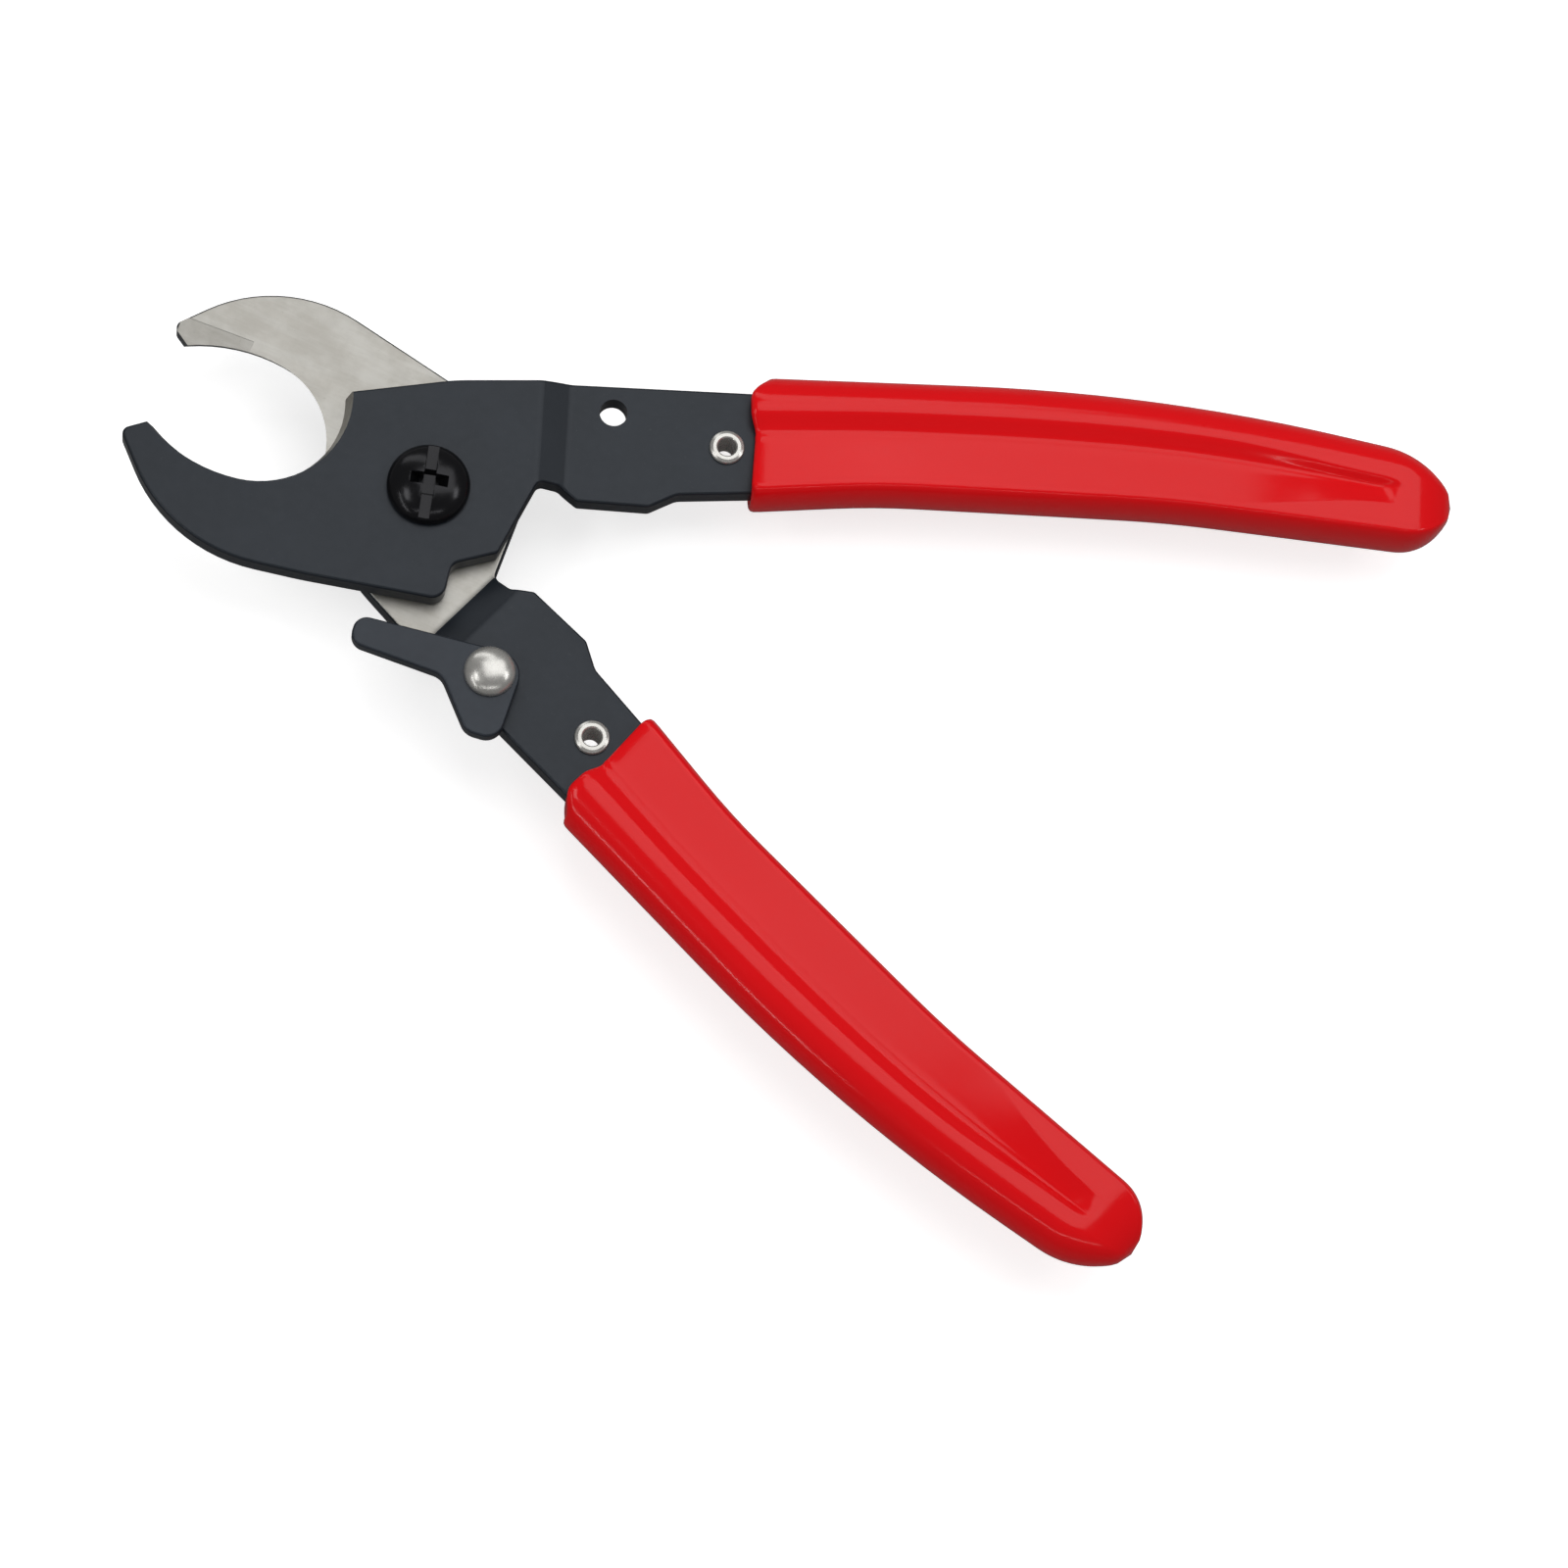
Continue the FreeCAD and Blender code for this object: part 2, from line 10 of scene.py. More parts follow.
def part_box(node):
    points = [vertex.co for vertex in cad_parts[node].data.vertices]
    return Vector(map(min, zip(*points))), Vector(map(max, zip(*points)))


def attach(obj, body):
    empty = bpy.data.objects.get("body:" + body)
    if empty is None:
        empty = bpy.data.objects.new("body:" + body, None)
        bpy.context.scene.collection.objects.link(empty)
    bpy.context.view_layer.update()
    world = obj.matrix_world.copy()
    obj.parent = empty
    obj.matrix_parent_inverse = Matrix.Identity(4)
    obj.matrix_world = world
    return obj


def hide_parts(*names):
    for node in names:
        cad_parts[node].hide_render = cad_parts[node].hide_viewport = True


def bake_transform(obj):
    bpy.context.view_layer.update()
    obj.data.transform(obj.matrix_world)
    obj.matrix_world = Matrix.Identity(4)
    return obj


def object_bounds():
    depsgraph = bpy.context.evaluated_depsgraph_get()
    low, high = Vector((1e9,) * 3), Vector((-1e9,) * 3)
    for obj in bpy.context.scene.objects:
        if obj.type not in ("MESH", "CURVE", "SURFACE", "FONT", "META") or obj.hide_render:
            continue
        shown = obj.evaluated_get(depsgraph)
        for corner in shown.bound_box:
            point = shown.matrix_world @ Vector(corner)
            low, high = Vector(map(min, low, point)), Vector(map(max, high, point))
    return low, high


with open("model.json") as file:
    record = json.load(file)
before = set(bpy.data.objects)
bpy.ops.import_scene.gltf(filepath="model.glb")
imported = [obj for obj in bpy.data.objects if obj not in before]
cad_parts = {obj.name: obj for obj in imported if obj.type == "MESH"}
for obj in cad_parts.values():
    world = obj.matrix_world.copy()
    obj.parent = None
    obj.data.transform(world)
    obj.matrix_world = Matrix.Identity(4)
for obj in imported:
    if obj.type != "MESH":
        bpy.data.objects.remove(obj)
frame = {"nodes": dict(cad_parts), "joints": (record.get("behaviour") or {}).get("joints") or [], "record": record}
CAD_BOX = [list(corner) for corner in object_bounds()]
NODES = frame["nodes"]
MM = 0.001


# ---------------------------------------------------------------- shader helpers

class Shader:
    """A material whose nodes are added by short calls."""

    def __init__(self, name):
        self.material = bpy.data.materials.new(name)
        self.material.use_nodes = True
        self.tree = self.material.node_tree
        self.bsdf = self.tree.nodes["Principled BSDF"]

    def feed(self, socket, value):
        if isinstance(value, bpy.types.NodeSocket):
            self.tree.links.new(value, socket)
        else:
            socket.default_value = value

    def node(self, kind, *inputs, **settings):
        node = self.tree.nodes.new(kind)
        for key, value in settings.items():
            setattr(node, key, value)
        for socket, value in zip(node.inputs, inputs):
            if value is not None:
                self.feed(socket, value)
        return node

    def math(self, operation, a, b=None, clamp=False):
        return self.node("ShaderNodeMath", a, b, operation=operation, use_clamp=clamp).outputs[0]

    def place(self):
        return self.node("ShaderNodeTexCoord").outputs["Object"]

    def normal(self):
        return self.node("ShaderNodeTexCoord").outputs["Normal"]

    def split(self, vector):
        return self.node("ShaderNodeSeparateXYZ", vector).outputs

    def noise(self, scale, detail=4.0, rough=0.55, stretch=None):
        where = self.place()
        if stretch:
            where = self.node("ShaderNodeMapping", where, None, None, stretch).outputs[0]
        node = self.node("ShaderNodeTexNoise")
        self.feed(node.inputs["Vector"], where)
        self.feed(node.inputs["Scale"], scale)
        self.feed(node.inputs["Detail"], detail)
        self.feed(node.inputs["Roughness"], rough)
        return node.outputs["Fac"]

    def ramp(self, value, low, high):
        """0 below low, 1 above high, smooth between."""
        node = self.node("ShaderNodeMapRange", interpolation_type="SMOOTHSTEP")
        self.feed(node.inputs["Value"], value)
        self.feed(node.inputs["From Min"], low)
        self.feed(node.inputs["From Max"], high)
        return node.outputs["Result"]

    def scale(self, value, low, high):
        """value 0 to 1 becomes low to high."""
        node = self.node("ShaderNodeMapRange")
        self.feed(node.inputs["Value"], value)
        self.feed(node.inputs["To Min"], low)
        self.feed(node.inputs["To Max"], high)
        return node.outputs["Result"]

    def mix(self, share, a, b):
        node = self.node("ShaderNodeMix", data_type="RGBA")
        self.feed(node.inputs["Factor"], share)
        self.feed(node.inputs["A"], a if isinstance(a, bpy.types.NodeSocket) else (*a, 1))
        self.feed(node.inputs["B"], b if isinstance(b, bpy.types.NodeSocket) else (*b, 1))
        return node.outputs["Result"]

    def mix_value(self, share, a, b):
        node = self.node("ShaderNodeMix", data_type="FLOAT")
        self.feed(node.inputs["Factor"], share)
        self.feed(node.inputs["A"], a)
        self.feed(node.inputs["B"], b)
        return node.outputs["Result"]

    def bump(self, height, strength, distance):
        node = self.node("ShaderNodeBump")
        self.feed(node.inputs["Strength"], strength)
        self.feed(node.inputs["Distance"], distance)
        self.feed(node.inputs["Height"], height)
        self.feed(self.bsdf.inputs["Normal"], node.outputs["Normal"])

    def set(self, **inputs):
        for key, value in inputs.items():
            name = key.replace("_", " ").title().replace("Ior", "IOR")
            self.feed(self.bsdf.inputs[name], value)


def near_circle(shader, centre, radius):
    """1 inside a circle about an axis along Z, 0 outside."""
    x, y, _ = shader.split(shader.place())
    dx = shader.math("SUBTRACT", x, centre[0])
    dy = shader.math("SUBTRACT", y, centre[1])
    dx_squared = shader.math("MULTIPLY", dx, dx)
    dy_squared = shader.math("MULTIPLY", dy, dy)
    far = shader.math("SQRT", shader.math("ADD", dx_squared, dy_squared))
    return shader.math("LESS_THAN", far, radius)


# ---------------------------------------------------------------- materials

FACE_REACH = 0.10 * MM    # how far from the shear plane still counts as the ground face
RELIEF_REACH = 0.9 * MM   # the same for the tip relief, which slopes away from it
RELIEF_MARGIN = 6 * MM    # the relief lies this far round the nose circle at the most
FACING_OUT = 0.9          # least normal along Z of a ground flat
SLOPED = 0.75             # greatest normal along Z of the cutting bevel


def plate_steel(name, facing, throat, nose):
    """Black-oxide plate. The shear face, the tip relief and the cutting bevel are bare ground steel."""
    s = Shader(name)
    _, _, z = s.split(s.place())
    _, _, nz = s.split(s.normal())
    in_cut = near_circle(s, *throat)
    off_plane = s.math("ABSOLUTE", s.math("SUBTRACT", z, SHEAR_Z))
    on_plane = s.math("LESS_THAN", off_plane, FACE_REACH)
    facing_out = s.math("GREATER_THAN", s.math("MULTIPLY", nz, facing), FACING_OUT)
    at_nose = near_circle(s, nose[0], nose[1] + RELIEF_MARGIN)
    relief = s.math("MULTIPLY", at_nose, s.math("LESS_THAN", off_plane, RELIEF_REACH))
    ground = s.math("MULTIPLY", s.math("MAXIMUM", on_plane, relief), facing_out)
    sloped = s.math("LESS_THAN", s.math("ABSOLUTE", nz), SLOPED)
    ground = s.math("MAXIMUM", ground, s.math("MULTIPLY", in_cut, sloped))
    grain = s.noise(1100, 6, 0.6)
    blotch = s.noise(110, 5, 0.6)
    streak = s.noise(800, 5, 0.6, (0.12, 1.0, 1.0))
    speck = s.ramp(s.noise(2400, 3, 0.7), 0.62, 0.78)
    black = s.mix(blotch, (0.009, 0.013, 0.019), (0.017, 0.023, 0.032))
    black = s.mix(s.math("MULTIPLY", speck, 0.25), black, (0.05, 0.055, 0.06))
    patches = s.ramp(s.noise(260, 5, 0.65), 0.36, 0.66)
    scratches = s.ramp(streak, 0.38, 0.64)
    mottle = s.math("MULTIPLY", s.math("ADD", scratches, patches), 0.5, True)
    steel = s.mix(mottle, (0.41, 0.395, 0.36), (0.53, 0.52, 0.485))
    steel = s.mix(s.math("MULTIPLY", speck, 0.35), steel, (0.20, 0.19, 0.17))
    rough_black = s.scale(grain, 0.30, 0.44)
    rough_steel = s.scale(streak, 0.34, 0.52)
    s.set(base_color=s.mix(ground, black, steel), metallic=s.scale(ground, 0.35, 0.92))
    s.set(roughness=s.mix_value(ground, rough_black, rough_steel))
    s.bump(s.math("ADD", grain, s.math("MULTIPLY", streak, ground)), 0.2, 0.00004)
    return s.material


def gloss_black(name, rough):
    """Black-plated steel with a little wear showing through."""
    s = Shader(name)
    grain = s.noise(1200, 5)
    wear = s.ramp(s.noise(420, 6, 0.7), 0.66, 0.82)
    s.set(base_color=s.mix(wear, (0.012, 0.012, 0.014), (0.07, 0.07, 0.075)), metallic=0.6)
    s.set(roughness=s.scale(grain, rough * 0.7, rough * 1.3))
    s.bump(grain, 0.12, 0.00003)
    return s.material


def painted_black(name):
    """Satin black stamped lever, slightly bluer than the screw."""
    s = Shader(name)
    grain = s.noise(1000, 6, 0.6)
    blotch = s.noise(160, 4)
    s.set(base_color=s.mix(blotch, (0.016, 0.021, 0.030), (0.026, 0.034, 0.046)), metallic=0.3)
    s.set(roughness=s.scale(grain, 0.30, 0.44))
    s.bump(grain, 0.2, 0.00004)
    return s.material


def plated(name, low, high, rough, metallic=1.0):
    """Bright plated, turned or drawn metal with fine marks."""
    s = Shader(name)
    fine = s.noise(1600, 5, 0.6)
    broad = s.noise(260, 3)
    s.set(base_color=s.mix(broad, low, high), metallic=metallic)
    s.set(roughness=s.scale(fine, rough * 0.7, rough * 1.4))
    s.bump(fine, 0.12, 0.00002)
    return s.material


def vinyl(name):
    """Gloss dipped vinyl: deep red, faint flow marks and a soft orange-peel skin."""
    s = Shader(name)
    flow = s.noise(60, 4, 0.5, (0.25, 1.0, 1.0))
    skin = s.noise(900, 4)
    peel = s.noise(140, 2, 0.4, (0.4, 1.0, 1.0))
    s.set(base_color=s.mix(flow, (0.84, 0.003, 0.006), (0.93, 0.006, 0.010)))
    s.set(roughness=s.scale(skin, 0.09, 0.17), specular_ior_level=0.26)
    s.bump(peel, 0.10, 0.00015)
    return s.material


WELD_DISTANCE = 0.002 * MM
SHARP = math.radians(35)  # edges sharper than this are bevelled


def dress(node, material, bevel=0.0):
    """A CAD node gets its material and, if asked, bevelled edges that catch the light."""
    o = NODES[node]
    o.data.materials.clear()
    o.data.materials.append(material)
    if bevel:
        weld = o.modifiers.new("weld", "WELD")
        weld.merge_threshold = WELD_DISTANCE
        edges = o.modifiers.new("edges", "BEVEL")
        edges.width = bevel
        edges.segments = 2
        edges.limit_method = "ANGLE"
        edges.angle_limit = SHARP


# ---------------------------------------------------------------- the arm frame and the shear plane

def mount(name):
    return [m for m in frame["record"]["mounts"] if m["name"] == name][0]


OPEN_HALF = math.radians(frame["joints"][0]["range_deg"][1] / 2)
SHEAR_Z = mount("hanging_hole")["pos_m"][2]


def on_arm(x, y, front):
    """A point of the shut arm's frame, in metres, on the open tool."""
    px = x * math.cos(OPEN_HALF) - y * math.sin(OPEN_HALF)
    py = x * math.sin(OPEN_HALF) + y * math.cos(OPEN_HALF)
    return px, (py if front else -py)


def off_arm(x, y, front):
    """The other way: from the open tool to the shut arm's frame."""
    y = y if front else -y
    px = x * math.cos(OPEN_HALF) + y * math.sin(OPEN_HALF)
    py = y * math.cos(OPEN_HALF) - x * math.sin(OPEN_HALF)
    return px, py


# x, y and radius in millimetres of the arm frame: each takes in what is ground round the jaw's opening
FRONT_THROAT = (-21.75, 10.6, 11.95)
REAR_THROAT = (-21.8, 11.95, 12.5)
NOSE = (-19.6, 20.1, 20.0)


def dress_blade(node, facing, front, throat):
    """facing is 1 if the ground face looks along +Z, or else -1."""
    circles = []
    for x, y, radius in (throat, NOSE):
        circles.append((on_arm(x * MM, y * MM, front), radius * MM))
    dress(node, plate_steel("plate_" + node, facing, *circles))


dress_blade("front_blade", -1, True, FRONT_THROAT)
dress_blade("rear_blade", 1, False, REAR_THROAT)
NICKEL = plated("nickel", (0.52, 0.51, 0.48), (0.72, 0.71, 0.68), 0.26, 0.72)
ZINC = plated("zinc", (0.50, 0.50, 0.50), (0.66, 0.66, 0.67), 0.28)
WIRE = plated("spring_wire", (0.30, 0.30, 0.31), (0.46, 0.46, 0.47), 0.25)
RED = vinyl("red_vinyl")
dress("pivot_screw", gloss_black("screw_black", 0.2), 0.12 * MM)
dress("latch_lever", painted_black("lever_black"))
for node in ("front_eyelet", "rear_eyelet", "latch_rivet", "rivet_burr"):
    dress(node, NICKEL)
for node in ("spring_collar", "retaining_washer", "pivot_nut", "latch_washer"):
    dress(node, ZINC, 0.1 * MM)
dress("pivot_bushing", plated("bronze", (0.40, 0.26, 0.12), (0.55, 0.38, 0.19), 0.3))


# ---------------------------------------------------------------- grips

RING = 144                # points round a grip's section
STATIONS = 120            # sections along a grip
SAMPLES = 240             # places at which the CAD grip's width is read
SLANT = 0.9 * MM          # the mouth is cut at a slant: its outer side starts this much earlier
MOUTH_CORNER = 2.2 * MM   # rounding of the outer corner at the mouth
MOUTH_DIP = 0.6 * MM      # how far the mouth's edge is set back at the valley
MOUTH_ROUND = 6 * MM      # the corner and the dip die out over this length
SLANT_LENGTH = 30 * MM    # and the slant over this one
OUTER_CREST = 0.40        # across the section: -1 is the inner side, 1 the outer side
INNER_CREST = -0.80
VALLEY_AT = 0.04
VALLEY = 0.25             # depth of the valley as a share of the grip's half height
BALL = 8.0 * MM           # the plain round end beyond the valley
END_FALL = 7.5 * MM       # length over which the height falls to nothing at the end
PINCH_LENGTH = 22 * MM    # the valley narrows over this length before the ball
LIP = 0.7 * MM            # depth of the rolled lip at the mouth
HOLLOW_Y = 9.58 * MM      # middle of the hollow that the tang enters, in the arm frame
HOLLOW_HALF = (6.55 * MM, 1.52 * MM)
SKIN = 0.02 * MM          # the sleeve stays this much inside the CAD grip's ends


def new_piece(name, verts, faces, material, body):
    mesh = bpy.data.meshes.new(name)
    mesh.from_pydata(verts, [], faces)
    mesh.update()
    for polygon in mesh.polygons:
        polygon.use_smooth = True
    mesh.materials.append(material)
    piece = bpy.data.objects.new(name, mesh)
    bpy.context.scene.collection.objects.link(piece)
    if body:
        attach(piece, body)
    return piece


def silhouette(node, front):
    """A function giving the CAD grip's lowest and highest y at each x of the arm frame, and its two ends."""
    mesh = NODES[node].data
    flat = [off_arm(v.co.x, v.co.y, front) for v in mesh.vertices]
    pairs = [(flat[e.vertices[0]], flat[e.vertices[1]]) for e in mesh.edges]

    def at(x):
        ys = []
        for (ax, ay), (bx, by) in pairs:
            if (ax - x) * (bx - x) <= 0 and ax != bx:
                ys.append(ay + (by - ay) * (x - ax) / (bx - ax))
        return min(ys), max(ys)

    return at, min(x for x, _ in flat), max(x for x, _ in flat)


def smoothstep(value):
    value = min(1.0, max(0.0, value))
    return value * value * (3 - 2 * value)


def power(value, exponent):
    return math.copysign(abs(value) ** exponent, value)


def dip(u):
    """The valley across a grip: steep under the outer lobe, then one flat face up to the inner edge."""
    if u > VALLEY_AT:
        return 1 - smoothstep((u - VALLEY_AT) / (OUTER_CREST - VALLEY_AT))
    rise = (VALLEY_AT - u) / (VALLEY_AT - INNER_CREST)
    return max(0.0, 1 - rise) * (1 - 0.12 * math.exp(-((rise / 0.08) ** 2)))


def wall(u):
    """Height of the section over its width, without the valley."""
    if u > OUTER_CREST:
        return math.sqrt(max(0.0, 1 - ((u - OUTER_CREST) / (1 - OUTER_CREST)) ** 2))
    if u < INNER_CREST:
        return math.sqrt(max(0.0, 1 - ((INNER_CREST - u) / (1 + INNER_CREST)) ** 2))
    return 1.0


def grip(name, node, front, body):
    """Two-lobed vinyl sleeve lofted inside the CAD grip's own outline: rolled mouth, round end."""
    at, start, end = silhouette(node, front)
    low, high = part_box(node)
    middle_z, half_h = (low.z + high.z) / 2, (high.z - low.z) / 2
    start += SKIN
    end -= SKIN
    first = start + SLANT
    step = (end - first - 0.2 * MM) / SAMPLES
    table = [at(first + step * i) for i in range(SAMPLES + 1)]
    verts, faces = [], []

    def sides(x):
        t = min(SAMPLES - 0.001, max(0.0, (x - first) / step))
        i, share = int(t), t - int(t)
        return [table[i][k] + (table[i + 1][k] - table[i][k]) * share for k in (0, 1)]

    def ring(make):
        base = len(verts)
        for i in range(RING):
            x, y, z = make(2 * math.pi * i / RING)
            verts.append((*on_arm(x, y, front), z))
        if base:
            for i in range(RING):
                j = (i + 1) % RING
                faces.append((base - RING + i, base - RING + j, base + j, base + i))

    def outer(x, shrink=0.0):
        def make(turn):
            u = math.cos(turn)
            near_mouth = 1 - smoothstep((x - start) / MOUTH_ROUND)
            across = SLANT * (1 - u) / 2 * (1 - smoothstep((x - start) / SLANT_LENGTH))
            corner = MOUTH_CORNER * smoothstep((u - 0.55) / 0.45) ** 2 * near_mouth
            px = x + across + corner + MOUTH_DIP * dip(u) * near_mouth
            y0, y1 = sides(px)
            fall = math.sqrt(max(0.0, 1 - (1 - min(1.0, (end - px) / END_FALL)) ** 2))
            to_ball = end - BALL - px
            narrow = 0.45 + 0.55 * smoothstep(to_ball / PINCH_LENGTH)
            depth = VALLEY * smoothstep(to_ball / (4 * MM) + 0.5)
            valley = 1 - depth * dip(VALLEY_AT + (u - VALLEY_AT) / narrow)
            height = (half_h * fall - shrink) * wall(u) * valley
            height = math.copysign(height, math.sin(turn)) if abs(math.sin(turn)) > 1e-9 else 0.0
            return px, (y0 + y1) / 2 + ((y1 - y0) / 2 - shrink) * u, middle_z + height
        return make

    def inner(depth_in, grow):
        def make(turn):
            u = power(math.cos(turn), 0.25)
            v = power(math.sin(turn), 0.25)
            px = start + depth_in + SLANT * (1 - u) / 2
            return px, HOLLOW_Y + (HOLLOW_HALF[0] + grow) * u, middle_z + (HOLLOW_HALF[1] + grow) * v
        return make

    for depth_in, grow in ((2.5, 0.0), (0.9, 0.02), (0.7, 0.25)):
        ring(inner(depth_in * MM, grow * MM))
    for back, shrink in ((0.0, 0.75), (0.08, 0.42), (0.3, 0.16), (0.7, 0.03)):
        ring(outer(start + back * MM, shrink * MM))
    for i in range(1, STATIONS):
        share = 0.45 * math.sin(math.pi / 2 * i / STATIONS) + 0.55 * i / STATIONS
        ring(outer(start + LIP + (end - 0.05 * MM - start - LIP) * share))
    last = len(verts) - RING
    y0, y1 = sides(end)
    verts.append((*on_arm(end, (y0 + y1) / 2, front), middle_z))
    for i in range(RING):
        faces.append((last + i, last + (i + 1) % RING, len(verts) - 1))
    if not front:
        faces = [tuple(reversed(face)) for face in faces]
    piece = new_piece(name, verts, faces, RED, body)
    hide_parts(node)


grip("front_grip_vinyl", "front_grip", True, "front_arm")
grip("rear_grip_vinyl", "rear_grip", False, "rear_arm")


# ---------------------------------------------------------------- return spring

WIRE_R = 0.45 * MM
COIL_R = 5.65 * MM
COIL_PITCH = 0.95 * MM
COIL_TURNS = 2            # whole turns, before the part turn that lines the legs up
EYE_R = 2.17 * MM
EYE_TURN = math.radians(280)
LEG_FLAT = 13 * MM        # a leg leaves the coil level for this length
LEG_RISE = 13 * MM        # and climbs to its eye over this one
LEG_STEPS = 60
EYE_STEPS = 48
COIL_STEPS = 180


def tube(name, path, radius, material, sides=20):
    """Round wire along a path, with closed ends."""
    verts, faces = [], []
    for i, point in enumerate(path):
        ahead = path[min(i + 1, len(path) - 1)]
        behind = path[max(i - 1, 0)]
        along = (ahead - behind).normalized()
        side = along.cross(Vector((0, 0, 1))).normalized()
        up = side.cross(along)
        for k in range(sides):
            turn = 2 * math.pi * k / sides
            verts.append(tuple(point + (side * math.cos(turn) + up * math.sin(turn)) * radius))
        if i:
            base = i * sides
            for k in range(sides):
                j = (k + 1) % sides
                faces.append((base - sides + k, base - sides + j, base + j, base + k))
    faces.append(tuple(range(sides)))
    faces.append(tuple(reversed(range(len(verts) - sides, len(verts)))))
    return new_piece(name, verts, faces, material, None)


def spring():
    """The coil and the front leg are one wire that is attached to no body; the rear leg is a piece of its own on
    the rear arm.
    """
    eye = Vector(mount("front_eyelet_bore")["pos_m"][:2])
    low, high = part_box("return_spring")
    eye_z = high.z - WIRE_R
    bottom_z = low.z + WIRE_R
    leave = math.atan2(eye.y, eye.x) + math.acos((COIL_R - EYE_R) / eye.length)
    wound = 2 * math.pi * COIL_TURNS + 2 * (math.pi - leave)
    top_z = bottom_z + COIL_PITCH * wound / (2 * math.pi)
    begin = Vector((COIL_R * math.cos(leave), COIL_R * math.sin(leave)))
    finish = eye + Vector((math.cos(leave), math.sin(leave))) * EYE_R
    long = (finish - begin).length

    def leg(coil_z, flip):
        path = []
        for i in range(1, LEG_STEPS + 1):
            along = long * i / LEG_STEPS
            rise = smoothstep((along - LEG_FLAT) / LEG_RISE)
            spot = begin.lerp(finish, along / long)
            path.append(Vector((spot.x, spot.y, coil_z + (eye_z - coil_z) * rise)))
        for i in range(1, EYE_STEPS + 1):
            turn = leave - EYE_TURN * i / EYE_STEPS
            spot = eye + Vector((math.cos(turn), math.sin(turn))) * EYE_R
            path.append(Vector((spot.x, spot.y, eye_z)))
        return [Vector((p.x, p.y * flip, p.z)) for p in path]

    coil = []
    for i in range(COIL_STEPS + 1):
        turn = leave + wound * i / COIL_STEPS
        z = top_z + (bottom_z - top_z) * i / COIL_STEPS
        coil.append(Vector((COIL_R * math.cos(turn), COIL_R * math.sin(turn), z)))
    rear = leg(bottom_z, -1)
    wire = tube("spring_coil", list(reversed(leg(top_z, 1))) + coil + rear[:2], WIRE_R, WIRE)
    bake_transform(wire)
    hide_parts("return_spring")
    tail = tube("spring_rear_leg", rear, WIRE_R, WIRE)
    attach(tail, "rear_arm")
    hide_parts("return_spring")


spring()


# ---------------------------------------------------------------- stage, light and camera

FLOOR_REACH = 6.0         # metres from the origin to each side
FLOOR_GAP = 0.5 * MM      # between the tool's lowest point and the floor


def stage_floor():
    """White paper to the camera. What lights the tool is a grey one, which keeps haze off it."""
    reach = FLOOR_REACH
    corners = [(-reach, -reach, 0), (reach, -reach, 0), (reach, reach, 0), (-reach, reach, 0)]
    mesh = bpy.data.meshes.new("floor")
    mesh.from_pydata(corners, [], [(0, 1, 2, 3)])
    floor = bpy.data.objects.new("floor", mesh)
    bpy.context.scene.collection.objects.link(floor)
    floor.location.z = CAD_BOX[0][2] - FLOOR_GAP
    s = Shader("floor_paper")
    seen = s.node("ShaderNodeLightPath").outputs["Is Camera Ray"]
    paper = s.mix(s.noise(30, 3), (0.88, 0.88, 0.88), (0.92, 0.92, 0.92))
    s.set(base_color=s.mix(seen, (0.30, 0.30, 0.30), paper), roughness=0.9)
    s.set(emission_color=(1, 1, 1, 1), emission_strength=s.scale(seen, 0.0, 0.62))
    mesh.materials.append(s.material)


def area_light(name, where, aim, size, power):
    """A soft box turned to face the aim, with its width across the picture."""
    data = bpy.data.lights.new(name, "AREA")
    data.shape = "RECTANGLE"
    data.size, data.size_y = size
    data.energy = power
    lamp = bpy.data.objects.new(name, data)
    bpy.context.scene.collection.objects.link(lamp)
    lamp.location = where
    back = (Vector(where) - Vector(aim)).normalized()
    right = view_axes()[1].cross(back).normalized()
    lamp.rotation_euler = Matrix((right, back.cross(right), back)).transposed().to_euler()


CAMERA_ROLL = math.radians(23.3)      # the tool's middle line runs down to the right by this much
CAMERA_LEFT = math.radians(5.3)       # how far the camera stands to the left of straight above
CAMERA_DOWN = math.radians(17.3)      # and how far towards the lower side
CAMERA_FAR = 0.9                      # metres from the pivot
CAMERA_SLIDE = (0.0444, -0.0361)      # how far the view is moved right and up from the pivot
CAMERA_LENS = 166.0


def view_axes():
    """Right, up and towards-the-camera directions in the row frame."""
    back = Vector((-math.sin(CAMERA_LEFT) * math.cos(CAMERA_DOWN), -math.sin(CAMERA_DOWN),
                   math.cos(CAMERA_LEFT) * math.cos(CAMERA_DOWN)))
    right = Vector((math.cos(CAMERA_LEFT), 0, math.sin(CAMERA_LEFT)))
    up = back.cross(right)
    roll = Matrix.Rotation(CAMERA_ROLL, 3, "Z")
    return roll @ right, roll @ up, roll @ back


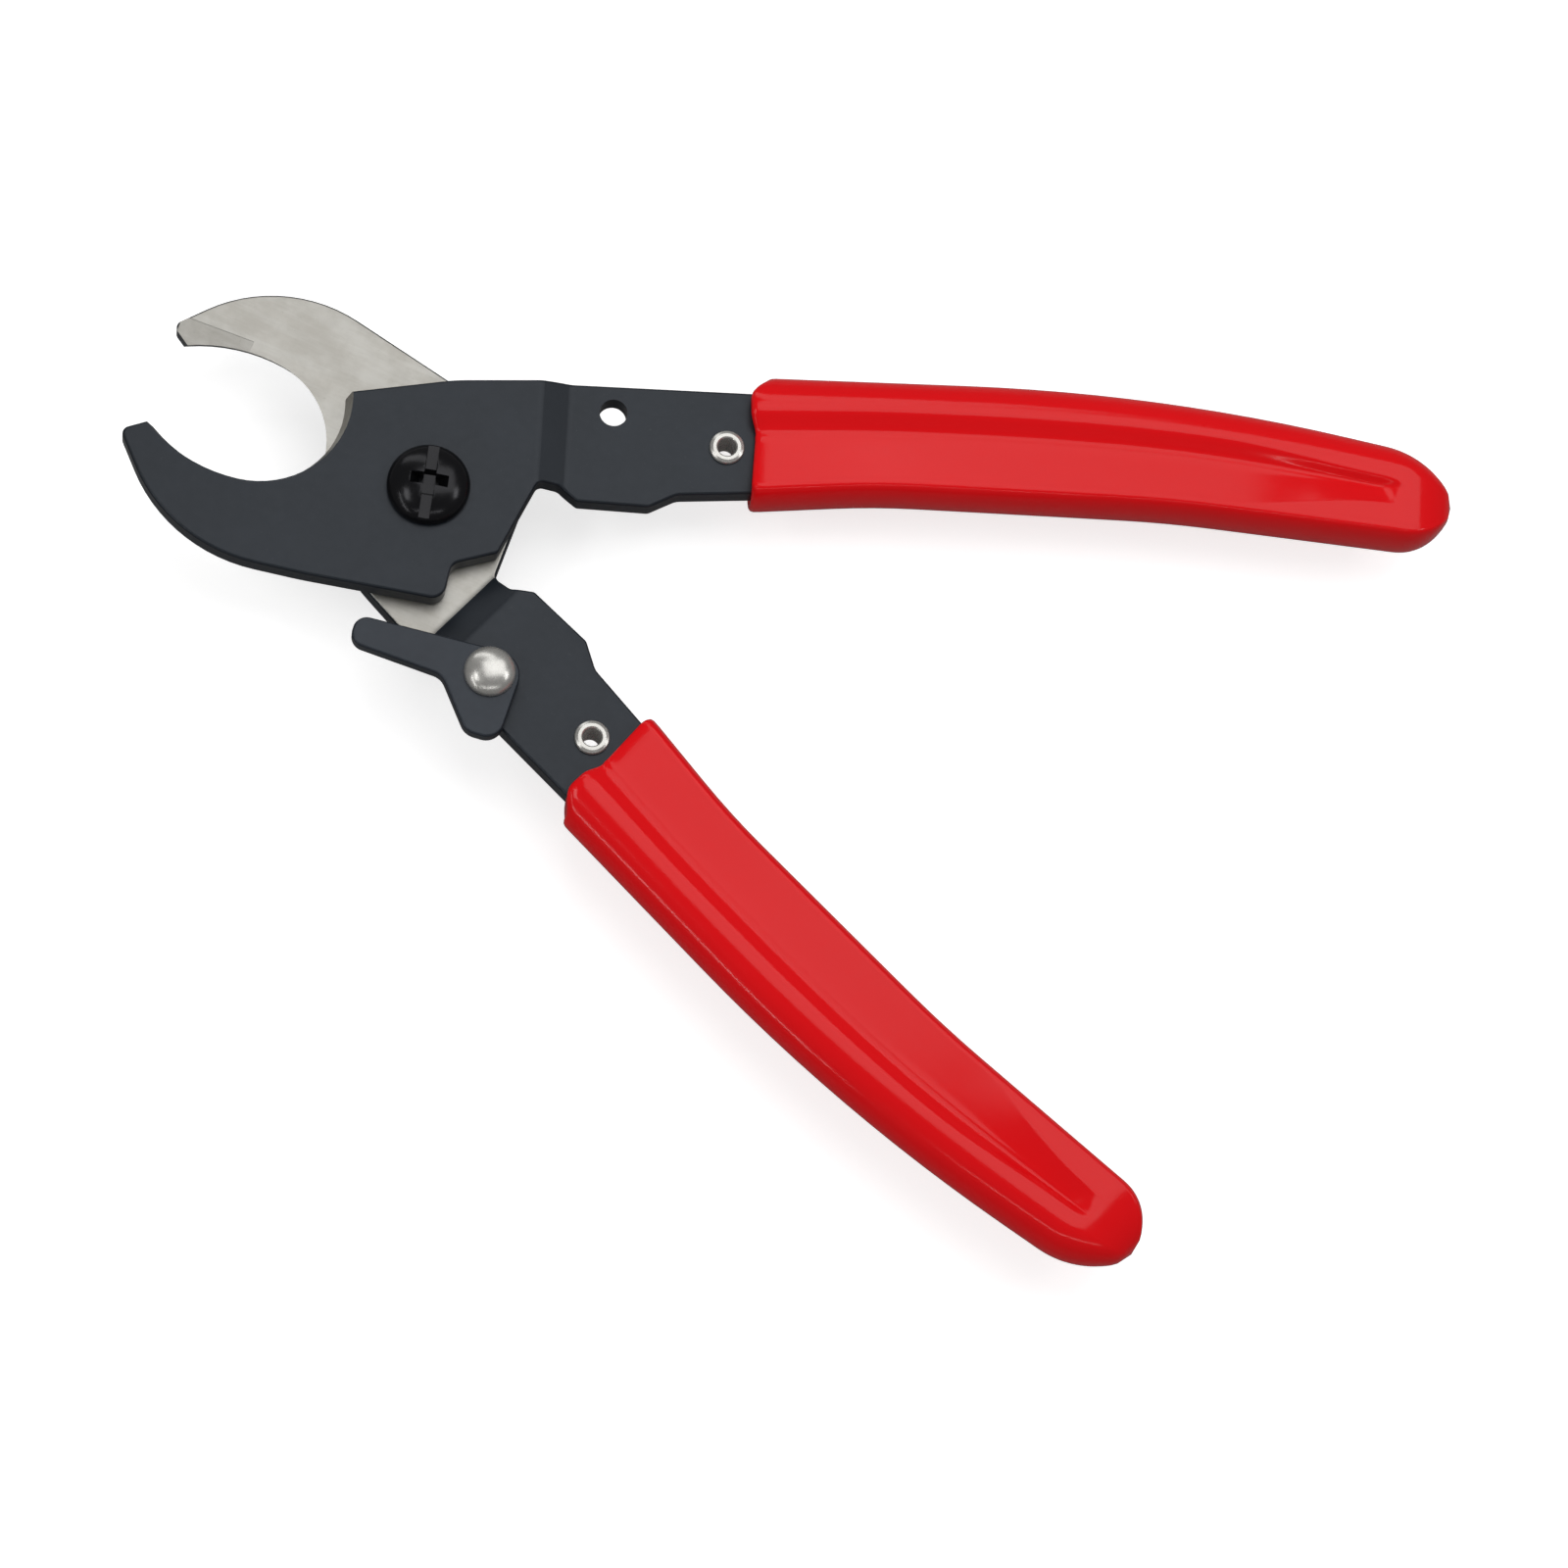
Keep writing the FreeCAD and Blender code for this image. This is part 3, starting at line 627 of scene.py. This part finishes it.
def add_camera():
    right, up, back = view_axes()
    data = bpy.data.cameras.new("camera")
    data.lens = CAMERA_LENS
    data.sensor_width = 36
    data.clip_start = 0.01
    camera = bpy.data.objects.new("camera", data)
    bpy.context.scene.collection.objects.link(camera)
    pivot = Vector((0, 0, SHEAR_Z))
    place = pivot + back * CAMERA_FAR + right * CAMERA_SLIDE[0] + up * CAMERA_SLIDE[1]
    turn = Matrix((right, up, back)).transposed().to_4x4()
    camera.matrix_world = Matrix.Translation(place) @ turn
    bpy.context.scene.camera = camera


LIGHTS_AIM = Vector((0.04, 0, 0.01))  # about the middle of the tool
# name, place (metres right, up and towards the camera from the aim), width and height, power in watts
LIGHTS = (
    ("key", (0.28, 0.54, 0.70), (0.90, 0.66), 2.9),
    ("top", (-0.15, 0.88, 0.28), (0.90, 0.22), 1.0),
    ("left_box", (-0.50, 0.18, 0.84), (0.16, 0.34), 0.7),
    ("right_box", (0.78, 0.20, 0.58), (0.16, 0.30), 0.7),
    ("low_strip", (0.05, -0.42, 0.84), (0.95, 0.04), 0.7),
    ("left_strip", (-0.68, -0.18, 0.62), (0.04, 0.70), 0.7),
)
WORLD_DIFFUSE = 0.26      # strength of the white surroundings as light
WORLD_GLOSSY = 0.16       # and as seen in reflections


def light():
    right, up, back = view_axes()
    for name, where, size, power in LIGHTS:
        spot = LIGHTS_AIM + right * where[0] + up * where[1] + back * where[2]
        area_light(name, spot, LIGHTS_AIM, size, power)
    world = bpy.data.worlds.new("studio")
    world.use_nodes = True
    tree = world.node_tree
    background = tree.nodes["Background"]
    background.inputs["Color"].default_value = (1, 1, 1, 1)
    path = tree.nodes.new("ShaderNodeLightPath")
    strength = tree.nodes.new("ShaderNodeMapRange")
    strength.inputs["To Min"].default_value = WORLD_DIFFUSE
    strength.inputs["To Max"].default_value = WORLD_GLOSSY
    tree.links.new(path.outputs["Is Glossy Ray"], strength.inputs["Value"])
    tree.links.new(strength.outputs["Result"], background.inputs["Strength"])
    bpy.context.scene.world = world


stage_floor()
light()
add_camera()
bpy.context.scene.view_settings.view_transform = "Standard"
